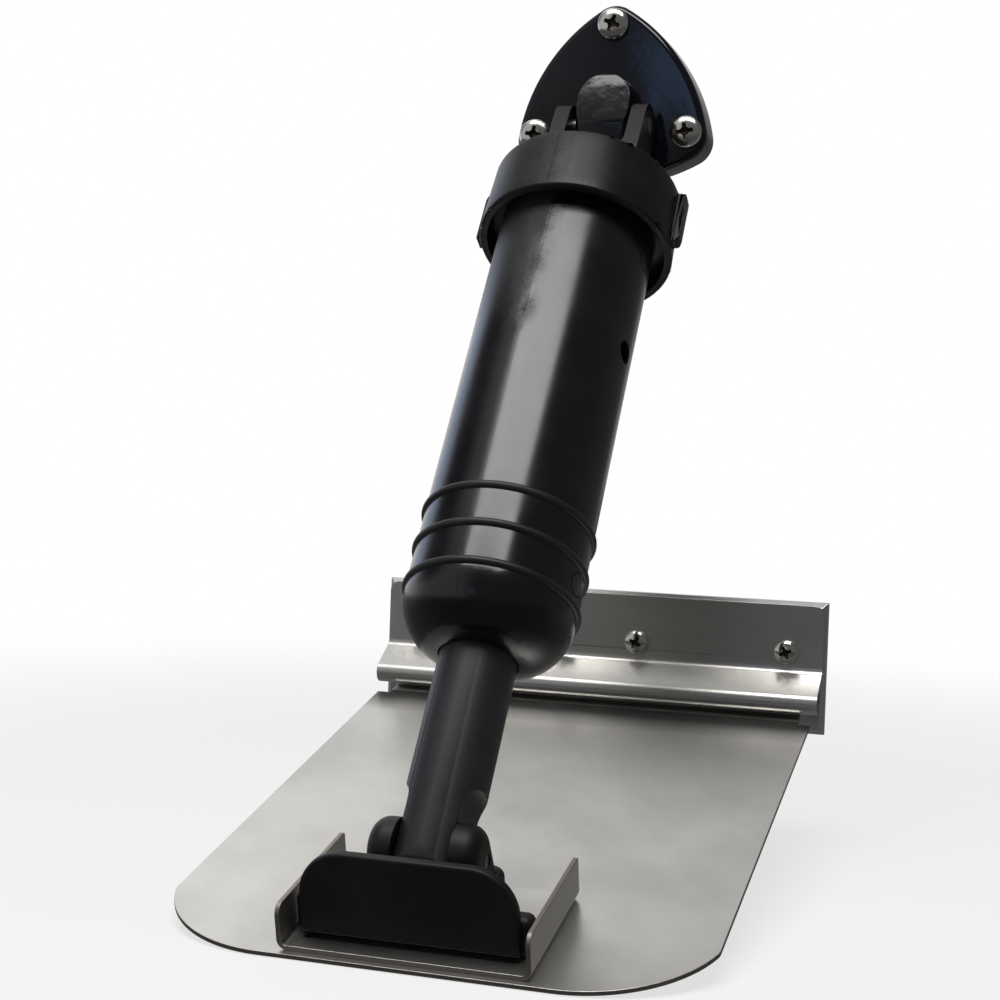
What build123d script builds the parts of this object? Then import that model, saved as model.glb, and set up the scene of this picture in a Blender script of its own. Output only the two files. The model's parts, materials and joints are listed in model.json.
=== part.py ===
from build123d import *
from math import atan2, cos, degrees, hypot, radians, sin, sqrt
import os

# Self-levelling boat trim tab with one spring-loaded actuator, in millimetres.
# X runs along the hinge, +Y points into the transom and Z is up.
# The origin is the middle of the backing plate's rear face, and the transom is the plane Y = 0.

os.makedirs("parts", exist_ok=True)

# Running fits and the gaps between pieces
pin_fit = 0.08
seat_fit = 0.02
slide_gap = 0.5
cut_margin = 1.0

# Pan heads: shares of the head's height and width, and the recess's draft
head_rim_share = 0.3
recess_depth_share = 0.6
recess_span_share = 0.5
recess_wing_share = 0.12
recess_draft = 8.0

# Backing plate and hinge strap
backing_width = 184.0
backing_height = 52.0
backing_thickness = 4.0
backing_bevel = 2.0
strap_width = 182.0
strap_sheet = 1.2
strap_top = 24.8
strap_corner = 4.0
slope_fall = 33.0
slope_bend = 4.0
hinge_reach = 14.2
hinge_drop = 12.3
bead_end_angle = 262.0

# Hinge screws
hinge_screw_outer = 76.5
hinge_screw_inner = 16.0
hinge_screw_height = 6.0
hinge_screw_head = 9.5
hinge_screw_head_height = 3.2
hinge_screw_shank = 4.8
hinge_screw_length = 25.0
screw_hole_gap = 0.4
thread_step = 0.3

# Tab plate, its rolled edge and the hinge rod
tab_width = 178.0
tab_sheet = 1.5
tab_angle = 13.87
tab_rear = 8.4
tab_length = 217.4
nose_radius = 45.0
nose_kink = 17.14
nose_corner = 8.0
roll_width = 168.0
roll_turn = 268.0
rod_dia = 3.0
rod_end_inset = 0.7
bead_fit = 0.1
bead_to_tab = 1.36
join_lap = 1.0

# Bracket on the tab
bracket_width = 80.0
bracket_sheet = 1.5
bracket_height = 14.3
bracket_rear = 163.0
bracket_front = 215.0
bracket_bend = 1.6
bracket_front_corner = 3.5
bracket_rear_corner = 1.2

# Actuator foot
foot_side_gap = 0.8
foot_rear = 172.0
foot_height = 14.0
foot_edge = 2.6
sill_thickness = 7.4
sill_corner = 3.0
block_half = 20.0
block_corner = 5.0
wall_width = 69.2
wall_front = 208.9
wall_thickness = 3.0
wall_bottom = 3.2
wall_top = 30.3
wall_corner = 14.8
wall_edge = 1.0
lobe_gap = 18.4
lobe_outer = 18.0
lobe_radius = 10.0
lobe_ahead = 2.6
lobe_above = 2.4
lobe_round = 5.4
lobe_base_front = 16.0
lobe_base_rear = 11.0
foot_screw_spacing = 26.0
foot_screw_place = 187.0
foot_screw_head = 8.0
foot_screw_shank = 4.2
foot_screw_length = 13.0
countersink_angle = 82.0
countersink_gap = 0.1

# Pivots
foot_pin_place = 185.4
foot_pin_height = 20.7
foot_pin_dia = 5.0
foot_pin_inset = 0.5
foot_pin_play = 0.6
upper_pin_reach = 25.0
upper_pin_height = 209.74
upper_pin_dia = 6.35

# Transom mount
mount_screw_half = 30.9
mount_screw_low = 208.6
mount_screw_high = 251.65
mount_thickness = 15.5
mount_corner = 9.7
mount_side_radius = 71.5
mount_corner_inset = 1.9
mount_corner_drop = 1.4
mount_high_corner_drop = 1.75
mount_edge = 2.5
mount_screw_head = 12.7
mount_screw_head_height = 3.9
mount_screw_shank = 6.35
mount_screw_length = 38.0
lug_width = 21.2
lug_radius = 6.0
lug_top = 230.8
lug_top_reach = 9.4
lug_drop = 8.0
lug_edge = 2.2
lug_side_round = 2.6

# Cylinder, measured down the actuator from the upper pin
ear_width = 6.3
ear_radius = 8.5
ear_gap = 24.2
ear_base = 11.0
ear_root_height = 8.0
saddle_depth = 19.0
saddle_bend = 5.0
collar_top = 36.4
collar_bottom = 63.8
collar_lip = 4.0
collar_top_radius = 35.8
collar_bottom_radius = 36.6
collar_wall = 3.0
collar_opening = 22.0
collar_edge = 1.2
collar_mouth = 33.4
collar_mouth_depth = 5.0
grip_proud = 3.0
grip_turns = (0.0, 180.0)
grip_width = 4.6
grip_top = 37.4
grip_bottom = 60.8
grip_corner = 2.8
grip_rim = 0.8
grip_recess = 0.9
grip_recess_corner = 0.7
head_flange = 5.6
head_plug = 12.0
head_crown = 2.4
crown_radius = 21.4
cylinder_radius = 29.1
bore_radius = 25.0
thread_length = 10.0
dome_top = 219.0
dome_end = 238.0
dome_floor = 221.0
port_dia = 8.5
port_place = 114.0
port_angle = -8.0
mark_places = (72.0, 209.5)
mark_line = 0.5
mark_depth = 0.35
ring_places = {"upper_ring": 188.0, "middle_ring": 202.4, "lower_ring": 216.8}
ring_section = 3.0
ring_radius = 28.8
seal_section = 3.0
seal_place = 52.4

# Rod, bush, wiper, piston and spring
rod_radius = 13.0
bush_wall = 3.5
bush_flange = 2.5
bush_flange_radius = 19.5
bush_length = 12.5
wiper_wall = 2.4
wiper_length = 2.8
wiper_place = 232.6
wiper_land_gap = 0.6
wiper_chamfer = 0.3
tongue_width = 17.4
tongue_start = 291.0
tongue_runout = 8.0
spigot_radius = 8.0
piston_top = 205.0
piston_bottom = 217.8
piston_gap = 0.3
piston_chamfer = 0.6
piston_seal_section = 3.0
piston_seal_gap = 0.08
washer_radius = 11.0
washer_thickness = 1.5
piston_screw_head = 9.5
piston_screw_head_height = 3.4
piston_screw_shank = 4.8
piston_screw_length = 24.0
spring_outside = 44.0
spring_wire = 3.2
spring_turns = 9.5

# Hinge frame: everything on the tab is placed from the hinge axis and the tab's rest angle
hinge_y = -hinge_reach
hinge_z = -hinge_drop
rod_r = rod_dia / 2
roll_mid = rod_r + tab_sheet / 2
roll_outer = rod_r + tab_sheet
bead_inner = roll_outer + bead_fit
bead_outer = bead_inner + strap_sheet
bead_mid = (bead_inner + bead_outer) / 2
tab_drop = bead_outer + bead_to_tab
tab_cos = cos(radians(tab_angle))
tab_sin = sin(radians(tab_angle))
tab_up = Vector(0, -tab_sin, tab_cos)
tab_ahead = Vector(0, -tab_cos, -tab_sin)
tab_origin = Vector(0, hinge_y, hinge_z) - tab_up * tab_drop
tab_top = Plane(origin=tab_origin, x_dir=(1, 0, 0), z_dir=tab_up)
tab_side = Plane(origin=tab_origin, x_dir=tab_ahead, z_dir=(-1, 0, 0))
tab_across = Plane(origin=tab_origin, x_dir=(1, 0, 0), z_dir=tab_ahead)

# Actuator frame: the line from the upper pin to the foot pin
upper_y = -upper_pin_reach
upper_z = upper_pin_height
foot_pin_at = tab_origin + tab_ahead * foot_pin_place + tab_up * foot_pin_height
span_y = upper_y - foot_pin_at.Y
span_z = upper_z - foot_pin_at.Z
reach = hypot(span_y, span_z)
lean_sin = span_y / reach
lean_cos = span_z / reach
actuator_up = Vector(0, lean_sin, lean_cos)
actuator_rear = Vector(0, lean_cos, -lean_sin)
upper_at = Vector(0, upper_y, upper_z)
actuator_turn = Plane(origin=upper_at, x_dir=(1, 0, 0), z_dir=-actuator_rear)
actuator_cross = Plane(origin=upper_at, x_dir=(1, 0, 0), z_dir=actuator_up)
actuator_side = Plane(origin=upper_at, x_dir=actuator_rear, z_dir=(1, 0, 0))
actuator_axis = Axis(origin=upper_at, direction=actuator_up)
print("hinge axis y, z:", round(hinge_y, 3), round(hinge_z, 3))
print("foot pin y, z:", round(foot_pin_at.Y, 3), round(foot_pin_at.Z, 3))
print("actuator reach:", round(reach, 3), "lean:", round(degrees(atan2(span_y, span_z)), 3))


def ring_profile(inner, outer, top, bottom):
    """Draw a half section between two radii and two places down the actuator."""
    with Locations(((inner + outer) / 2, -(top + bottom) / 2)):
        Rectangle(outer - inner, bottom - top)


def pan_screw(head_dia, head_height, shank_dia, grip, length):
    """Make a pan-head screw, its head seated on height 0 and its thread starting below the grip."""
    thread_r = shank_dia / 2 - thread_step
    rim_height = head_height * head_rim_share
    crown_height = head_height - rim_height
    crown_sphere = (head_dia**2 / 4 + crown_height**2) / (2 * crown_height)
    with BuildPart() as screw:
        with BuildSketch(Plane.XZ):
            with BuildLine():
                Polyline(
                    (0, head_height),
                    (0, -length),
                    (thread_r, shank_dia - length),
                    (thread_r, -grip),
                    (shank_dia / 2, -grip),
                    (shank_dia / 2, 0),
                    (head_dia / 2, 0),
                    (head_dia / 2, rim_height),
                )
                RadiusArc((head_dia / 2, rim_height), (0, head_height), -crown_sphere)
            make_face()
        revolve(axis=Axis.Z)
        with BuildSketch(Plane.XY.offset(head_height)):
            Rectangle(head_dia * recess_span_share, head_dia * recess_wing_share)
            Rectangle(head_dia * recess_wing_share, head_dia * recess_span_share)
        extrude(amount=-head_height * recess_depth_share, taper=recess_draft, mode=Mode.SUBTRACT)
    return screw.part


# Backing plate: a thick bar with its front edges bevelled, drilled for the hinge screws
hinge_screw_spots = [
    (-hinge_screw_outer, hinge_screw_height),
    (-hinge_screw_inner, hinge_screw_height),
    (hinge_screw_inner, hinge_screw_height),
    (hinge_screw_outer, hinge_screw_height),
]
transom_plane = Plane(origin=(0, 0, 0), x_dir=(1, 0, 0), z_dir=(0, -1, 0))
hinge_screw_hole = hinge_screw_shank / 2 + screw_hole_gap
with BuildPart() as backing_plate:
    with BuildSketch(transom_plane) as backing_outline:
        Rectangle(backing_width, backing_height)
    extrude(amount=backing_thickness)
    front_edges = backing_plate.faces().sort_by(Axis.Y)[0].edges()
    chamfer(front_edges, length=backing_bevel)
    with Locations(transom_plane.offset(backing_thickness)):
        with Locations(hinge_screw_spots):
            Hole(hinge_screw_hole)
backing_plate.part.label = "hinge_backing_plate"
export_step(backing_plate.part, "parts/hinge_backing_plate.step")

# Hinge strap: flange, slope and rolled bead bent from one sheet over the full width
flange_mid = -backing_thickness - strap_sheet / 2
slope_sin = sin(radians(slope_fall))
slope_cos = cos(radians(slope_fall))
bead_start_angle = 90 + slope_fall
bead_start = (hinge_y - bead_mid * slope_sin, hinge_z + bead_mid * slope_cos)
slope_rise = (flange_mid - bead_start[0]) * slope_sin / slope_cos
flange_foot = (flange_mid, bead_start[1] + slope_rise)
with BuildPart() as strap:
    with BuildSketch(Plane.YZ) as strap_section:
        with BuildLine() as strap_line:
            FilletPolyline((flange_mid, strap_top), flange_foot, bead_start, radius=slope_bend)
            CenterArc(
                (hinge_y, hinge_z), bead_mid, bead_start_angle, bead_end_angle - bead_start_angle
            )
        trace(line_width=strap_sheet)
    extrude(amount=strap_width / 2, both=True)
    top_corners = strap.edges().filter_by(Axis.Y).group_by(Axis.Z)[-1]
    fillet(top_corners, radius=strap_corner)
    with Locations(transom_plane.offset(backing_thickness + strap_sheet)):
        with Locations(hinge_screw_spots):
            Hole(hinge_screw_hole, depth=strap_sheet)
strap.part.label = "hinge_strap"
export_step(strap.part, "parts/hinge_strap.step")

# Hinge screws: four pan heads that pass through the strap and the plate into the transom
hinge_grip = backing_thickness + strap_sheet
hinge_screw = pan_screw(
    hinge_screw_head,
    hinge_screw_head_height,
    hinge_screw_shank,
    hinge_grip + slide_gap,
    hinge_screw_length,
)
with BuildPart() as hinge_screws:
    with Locations(transom_plane.offset(hinge_grip)):
        with Locations(hinge_screw_spots):
            add(hinge_screw)
hinge_screws.part.label = "hinge_screws"
export_step(hinge_screws.part, "parts/hinge_screws.step")

# Tab plate: the sheet runs back under the bead, turns up behind it and rolls round the rod
web_y = hinge_y + roll_mid
plate_mid = tab_origin - tab_up * (tab_sheet / 2)
web_back = (web_y - plate_mid.Y) / tab_cos
web_foot = (web_y, plate_mid.Z + web_back * tab_sin)
join_place = plate_mid + tab_ahead * (tab_rear + join_lap)
nose_half = tab_width / 2 - nose_radius * cos(radians(nose_kink))
nose_centre = (nose_half, nose_radius - tab_length)
with BuildPart() as tab:
    with BuildSketch(tab_top.offset(-tab_sheet)) as tab_outline:
        with BuildLine() as tab_edge:
            rear_line = Line((0, -tab_rear), (tab_width / 2, -tab_rear))
            nose_arc = CenterArc(nose_centre, nose_radius, -nose_kink, nose_kink - 90)
            Line(rear_line @ 1, nose_arc @ 0)
            Line(nose_arc @ 1, (0, -tab_length))
            mirror(about=Plane.YZ)
        make_face()
        kinks = tab_outline.vertices().group_by(Axis.Y)[1]
        fillet(kinks, radius=nose_corner)
    extrude(amount=tab_sheet)
    with BuildSketch(Plane.YZ) as roll_section:
        with BuildLine() as roll_line:
            FilletPolyline(
                (join_place.Y, join_place.Z), web_foot, (web_y, hinge_z), radius=roll_mid
            )
            CenterArc((hinge_y, hinge_z), roll_mid, 0, roll_turn)
        trace(line_width=tab_sheet)
    extrude(amount=roll_width / 2, both=True)
    with BuildSketch(tab_top.offset(-tab_sheet)) as foot_screw_holes:
        with Locations((0, -foot_screw_place)):
            with GridLocations(foot_screw_spacing, 1, 2, 1):
                Circle(foot_screw_head / 2)
    extrude(amount=tab_sheet, taper=countersink_angle / 2, mode=Mode.SUBTRACT)
tab.part.label = "trim_plate"
export_step(tab.part, "parts/trim_plate.step")

# Hinge rod inside the roll and the bead, a little shorter than the strap
rod_length = strap_width - 2 * rod_end_inset
with BuildPart() as hinge_rod:
    with BuildSketch(Plane.YZ.offset(-rod_length / 2)) as rod_section:
        with Locations((hinge_y, hinge_z)):
            Circle(rod_r - seat_fit)
    extrude(amount=rod_length)
hinge_rod.part.label = "hinge_rod"
export_step(hinge_rod.part, "parts/hinge_rod.step")

# Bracket: a shallow channel with two upright ears, spot-welded to the tab
bracket_half = bracket_width / 2 - bracket_sheet / 2
bracket_mid = bracket_sheet / 2
cone_slope = sin(radians(countersink_angle / 2)) / cos(radians(countersink_angle / 2))
cone_top_radius = foot_screw_head / 2 - tab_sheet * cone_slope
with BuildPart() as bracket:
    with BuildSketch(tab_across.offset(bracket_rear)) as bracket_section:
        with BuildLine() as bracket_line:
            FilletPolyline(
                (-bracket_half, bracket_height),
                (-bracket_half, bracket_mid),
                (bracket_half, bracket_mid),
                (bracket_half, bracket_height),
                radius=bracket_bend + bracket_mid,
            )
        trace(line_width=bracket_sheet)
    extrude(amount=bracket_front - bracket_rear)
    ear_ends = bracket.edges().filter_by(Axis.X).group_by(Axis(tab_origin, tab_up))[-1]
    ear_fronts = ear_ends.group_by(Axis(tab_origin, tab_ahead))[-1]
    fillet(ear_fronts, radius=bracket_front_corner)
    ear_ends = bracket.edges().filter_by(Axis.X).group_by(Axis(tab_origin, tab_up))[-1]
    ear_rears = ear_ends.group_by(Axis(tab_origin, tab_ahead))[0]
    fillet(ear_rears, radius=bracket_rear_corner)
    with BuildSketch(tab_top) as bracket_holes:
        with Locations((0, -foot_screw_place)):
            with GridLocations(foot_screw_spacing, 1, 2, 1):
                Circle(cone_top_radius + countersink_gap)
    extrude(amount=bracket_sheet, mode=Mode.SUBTRACT)
bracket.part.label = "foot_bracket"
export_step(bracket.part, "parts/foot_bracket.step")

# Clevis lobes: two fingers round over the pin from the side, their outer rims rolled off widely
lobe_centre = (foot_pin_place + lobe_ahead, foot_pin_height + lobe_above)
lobe_wall = (foot_height - bracket_sheet) / 2
with BuildPart() as lobes:
    with BuildSketch(tab_side) as lobe_side_view:
        with Locations(lobe_centre):
            Circle(lobe_radius)
        with Locations((foot_pin_place, bracket_sheet + lobe_wall)):
            Rectangle(lobe_base_rear, 2 * lobe_wall, align=(Align.MAX, Align.CENTER))
            Rectangle(lobe_base_front, 2 * lobe_wall, align=(Align.MIN, Align.CENTER))
        make_hull()
    extrude(amount=lobe_outer, both=True)
    for lobe_side in (lobes.faces().sort_by(Axis.X)[0], lobes.faces().sort_by(Axis.X)[-1]):
        lobe_rims = lobe_side.edges().sort_by(Axis(tab_origin, tab_up))[1:]
        fillet(lobe_rims, radius=lobe_round)

# Actuator foot: a tall thin front wall on a low sill, and the clevis lobes on a block behind them
foot_half = bracket_width / 2 - bracket_sheet - foot_side_gap
wall_back = wall_front - wall_thickness
sill_back = wall_back - sill_thickness
tongue_radius = rod_radius
tongue_room = tongue_radius + slide_gap + foot_pin_play / 2
with BuildPart() as foot:
    with BuildSketch(tab_top.offset(bracket_sheet)) as foot_base:
        with Locations((0, -(sill_back + wall_back) / 2)):
            RectangleRounded(2 * foot_half, sill_thickness, sill_corner)
        with Locations((0, -(foot_rear + wall_back) / 2)):
            RectangleRounded(2 * block_half, wall_back - foot_rear, block_corner)
    extrude(amount=foot_height - bracket_sheet)
    base_top = foot.faces().sort_by(Axis(tab_origin, tab_up))[-1]
    fillet(base_top.edges(), radius=foot_edge)
    base_under = foot.faces().sort_by(Axis(tab_origin, tab_up))[0]
    fillet(base_under.edges(), radius=bracket_bend)
    with BuildSketch(tab_across.offset(wall_front)) as wall_outline:
        with Locations((0, (wall_top + wall_bottom) / 2)):
            Rectangle(wall_width, wall_top - wall_bottom)
        fillet(wall_outline.vertices().group_by(Axis.Y)[-1], radius=wall_corner)
    extrude(amount=-wall_thickness)
    wall_face = foot.faces().sort_by(Axis(tab_origin, tab_ahead))[-1]
    fillet(wall_face.edges(), radius=wall_edge)
    add(lobes.part)
    with BuildSketch(tab_side) as tongue_slot:
        with Locations((foot_pin_place, foot_pin_height)):
            Circle(tongue_room)
            Rectangle(2 * tongue_room, 2 * tongue_room, align=(Align.CENTER, Align.MIN))
    extrude(amount=lobe_gap / 2, both=True, mode=Mode.SUBTRACT)
    with BuildSketch(tab_side) as foot_pin_bore:
        with Locations((foot_pin_place, foot_pin_height)):
            Circle(foot_pin_dia / 2 + seat_fit)
    extrude(amount=bracket_width, both=True, mode=Mode.SUBTRACT)
    with BuildSketch(tab_top.offset(bracket_sheet)) as foot_screw_bores:
        with Locations((0, -foot_screw_place)):
            with GridLocations(foot_screw_spacing, 1, 2, 1):
                Circle(foot_screw_shank / 2 + seat_fit)
    extrude(amount=foot_screw_length - tab_sheet - bracket_sheet + slide_gap, mode=Mode.SUBTRACT)
foot.part.label = "actuator_foot"
export_step(foot.part, "parts/actuator_foot.step")

# Foot screws: countersunk from below through the tab and the bracket into the foot
with BuildPart() as foot_screw:
    with BuildSketch(Plane.XZ) as foot_screw_half:
        with BuildLine():
            head_depth = (foot_screw_head - foot_screw_shank) / 2 / cone_slope
            Polyline(
                (0, 0),
                (foot_screw_head / 2 - seat_fit, 0),
                (foot_screw_shank / 2, head_depth),
                (foot_screw_shank / 2, foot_screw_length - foot_screw_shank / 2),
                (0, foot_screw_length),
                (0, 0),
            )
        make_face()
    revolve(axis=Axis.Z)
with BuildPart() as foot_screws:
    with Locations(tab_top.offset(-tab_sheet)):
        with Locations((0, -foot_screw_place)):
            with GridLocations(foot_screw_spacing, 1, 2, 1):
                add(foot_screw.part)
foot_screws.part.label = "foot_screws"
export_step(foot_screws.part, "parts/foot_screws.step")

# Foot pin: pressed through the lobes, loose in the tongue's larger hole
foot_pin_plane = Plane(origin=foot_pin_at, x_dir=tab_ahead, z_dir=(1, 0, 0))
with BuildPart() as foot_pin:
    with BuildSketch(foot_pin_plane) as foot_pin_section:
        Circle(foot_pin_dia / 2)
    extrude(amount=lobe_outer - foot_pin_inset, both=True)
foot_pin.part.label = "foot_pin"
export_step(foot_pin.part, "parts/foot_pin.step")

# Transom mount: three large arcs meet in three round corners, with a lug for the upper pin
low_corner = Vector(mount_screw_half - mount_corner_inset, mount_screw_low - mount_corner_drop, 0)
high_corner = Vector(0, mount_screw_high - mount_high_corner_drop, 0)
corner_to_side = mount_side_radius - mount_corner
slope_line = low_corner - high_corner
slope_half = slope_line.length / 2
slope_in = Vector(slope_line.Y, -slope_line.X, 0).normalized()
side_back = sqrt(corner_to_side**2 - slope_half**2)
side_centre = (high_corner + low_corner) / 2 + slope_in * side_back
base_centre = (0, low_corner.Y + sqrt(corner_to_side**2 - low_corner.X**2))
mount_screw_spots = [
    (-mount_screw_half, mount_screw_low),
    (mount_screw_half, mount_screw_low),
    (0, mount_screw_high),
]
lug_half = lug_width / 2
lug_root = mount_thickness - mount_edge
lug_front = upper_pin_reach + lug_radius
lug_bottom = upper_pin_height - lug_drop
lug_height = lug_top - lug_bottom
with BuildPart() as lug:
    with BuildSketch(transom_plane.offset(lug_root)) as lug_arch:
        with Locations((0, lug_top - lug_half)):
            Circle(lug_half)
        with Locations((0, (lug_top - lug_half + lug_bottom) / 2)):
            Rectangle(lug_width, lug_top - lug_half - lug_bottom)
    extrude(amount=lug_front - lug_root)
    with BuildSketch(Plane.YZ) as lug_side_view:
        with Locations((upper_y, upper_z)):
            Circle(lug_radius)
        with Locations((-mount_thickness - lug_top_reach + lug_edge, lug_top - lug_edge)):
            Circle(lug_edge)
        with Locations((lug_edge - lug_front, lug_bottom + lug_edge)):
            Circle(lug_edge)
        with Locations((-lug_root, (lug_top + lug_bottom) / 2)):
            Rectangle(mount_edge, lug_height, align=(Align.MAX, Align.CENTER))
        make_hull()
    extrude(amount=lug_half, both=True, mode=Mode.INTERSECT)
    with BuildSketch(Plane.XY.offset(lug_bottom)) as lug_plan:
        with Locations((0, -(lug_root + lug_front) / 2)):
            Rectangle(lug_width, lug_front - lug_root)
        fillet(lug_plan.vertices().group_by(Axis.Y)[0], radius=lug_side_round)
    extrude(amount=lug_height, mode=Mode.INTERSECT)
with BuildPart() as mount:
    with BuildSketch(transom_plane) as mount_outline:
        with Locations(base_centre):
            Circle(mount_side_radius)
        with Locations((side_centre.X, side_centre.Y)):
            Circle(mount_side_radius, mode=Mode.INTERSECT)
        with Locations((-side_centre.X, side_centre.Y)):
            Circle(mount_side_radius, mode=Mode.INTERSECT)
        fillet(mount_outline.vertices(), radius=mount_corner)
    extrude(amount=mount_thickness)
    mount_front = mount.faces().sort_by(Axis.Y)[0]
    fillet(mount_front.edges(), radius=mount_edge)
    add(lug.part)
    with Locations(transom_plane.offset(mount_thickness)):
        with Locations(mount_screw_spots):
            Hole(mount_screw_shank / 2 + screw_hole_gap, depth=mount_thickness)
    with BuildSketch(Plane.YZ) as upper_pin_bore:
        with Locations((upper_y, upper_z)):
            Circle(upper_pin_dia / 2 + seat_fit)
    extrude(amount=lug_width, both=True, mode=Mode.SUBTRACT)
mount.part.label = "transom_mount"
export_step(mount.part, "parts/transom_mount.step")

# Mount screws: three larger pan heads
mount_screw = pan_screw(
    mount_screw_head,
    mount_screw_head_height,
    mount_screw_shank,
    mount_thickness + slide_gap,
    mount_screw_length,
)
with BuildPart() as mount_screws:
    with Locations(transom_plane.offset(mount_thickness)):
        with Locations(mount_screw_spots):
            add(mount_screw)
mount_screws.part.label = "mount_screws"
export_step(mount_screws.part, "parts/mount_screws.step")

# Upper pin: held in the lug, with the head's ears turning on its ends
ear_outer = ear_gap / 2 + ear_width
with BuildPart() as upper_pin:
    with BuildSketch(Plane.YZ) as upper_pin_section:
        with Locations((upper_y, upper_z)):
            Circle(upper_pin_dia / 2)
    extrude(amount=ear_outer, both=True)
upper_pin.part.label = "upper_pin"
export_step(upper_pin.part, "parts/upper_pin.step")

# Collar nut: a threaded ring with an inner lip over the head, and two grips for the hand
collar_bore = collar_top_radius - collar_wall
lip_under = collar_top + collar_lip
grip_mid = (grip_top + grip_bottom) / 2
grip_root = collar_mouth + slide_gap
grip_reach = collar_bottom_radius + grip_proud
recess_root = collar_bottom_radius + grip_rim / 2
recess_end = grip_reach - grip_rim
with BuildPart() as collar:
    with BuildSketch(actuator_turn) as collar_half:
        with BuildLine() as collar_line:
            Polyline(
                (collar_opening, -collar_top),
                (collar_top_radius, -collar_top),
                (collar_bottom_radius, -collar_bottom),
                (collar_mouth, -collar_bottom),
                (collar_mouth, collar_mouth_depth - collar_bottom),
                (collar_bore, collar_mouth_depth - collar_bottom),
                (collar_bore, -lip_under),
                (collar_opening, -lip_under),
                (collar_opening, -collar_top),
            )
        make_face()
        outer_corners = collar_half.vertices().sort_by(Axis.X)[-2:]
        fillet(outer_corners, radius=collar_edge)
    revolve(axis=actuator_axis)
    for grip_turn in grip_turns:
        grip_plane = Plane(actuator_turn.location * Rotation(0, grip_turn, 0))
        with BuildSketch(grip_plane) as grip:
            with Locations(((grip_root + grip_reach) / 2, -grip_mid)):
                Rectangle(grip_reach - grip_root, grip_bottom - grip_top)
            fillet(grip.vertices().group_by(Axis.X)[-1], radius=grip_corner)
        extrude(amount=grip_width / 2, both=True)
        for side in (-1, 1):
            with BuildSketch(grip_plane.offset(side * grip_width / 2)) as grip_recess_face:
                with Locations(((recess_root + recess_end) / 2, -grip_mid)):
                    RectangleRounded(
                        recess_end - recess_root,
                        grip_bottom - grip_top - 2 * grip_rim,
                        grip_recess_corner,
                    )
            extrude(amount=-side * grip_recess, mode=Mode.SUBTRACT)
collar.part.label = "collar_nut"
export_step(collar.part, "parts/collar_nut.step")

# Cylinder head: two ears over a saddle, a flange under the collar's lip and a plug with a seal
cylinder_top = lip_under + head_flange
plug_end = cylinder_top + head_plug
seal_radius = bore_radius - seal_section / 2 - seat_fit
thread_radius = collar_bore - pin_fit
with BuildPart() as head:
    with BuildSketch(actuator_turn) as ear_front_view:
        with Locations((0, (ear_radius - lip_under) / 2)):
            Rectangle(2 * ear_outer, ear_radius + lip_under)
        with Locations((0, -saddle_depth / 2 + ear_radius)):
            Rectangle(ear_gap, saddle_depth + 2 * ear_radius, mode=Mode.SUBTRACT)
        saddle_corners = ear_front_view.vertices().group_by(Axis.Y)[1]
        fillet(saddle_corners, radius=saddle_bend)
    extrude(amount=crown_radius, both=True)
    with BuildSketch(actuator_side) as ear_side_view:
        Circle(ear_radius)
        with Locations((0, -lip_under)):
            Rectangle(2 * ear_base, ear_root_height, align=(Align.CENTER, Align.MIN))
        make_hull()
    extrude(amount=ear_outer, both=True, mode=Mode.INTERSECT)
    with BuildSketch(actuator_turn) as head_half:
        ring_profile(0, crown_radius, collar_top - head_crown, lip_under)
        ring_profile(0, thread_radius, lip_under, cylinder_top)
        ring_profile(0, bore_radius - pin_fit, cylinder_top, plug_end)
        with Locations((seal_radius, -seal_place)):
            Circle(seal_section / 2 + seat_fit, mode=Mode.SUBTRACT)
    revolve(axis=actuator_axis)
    with BuildSketch(actuator_side) as ear_bore:
        Circle(upper_pin_dia / 2 + pin_fit)
    extrude(amount=crown_radius, both=True, mode=Mode.SUBTRACT)
head.part.label = "cylinder_head"
export_step(head.part, "parts/cylinder_head.step")

# Head seal: an O-ring in the plug's groove, pressed by the bore
with BuildPart() as head_seal:
    with BuildSketch(actuator_turn) as head_seal_half:
        with Locations((seal_radius, -seal_place)):
            Circle(seal_section / 2)
    revolve(axis=actuator_axis)
head_seal.part.label = "head_seal"
export_step(head_seal.part, "parts/head_seal.step")

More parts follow.
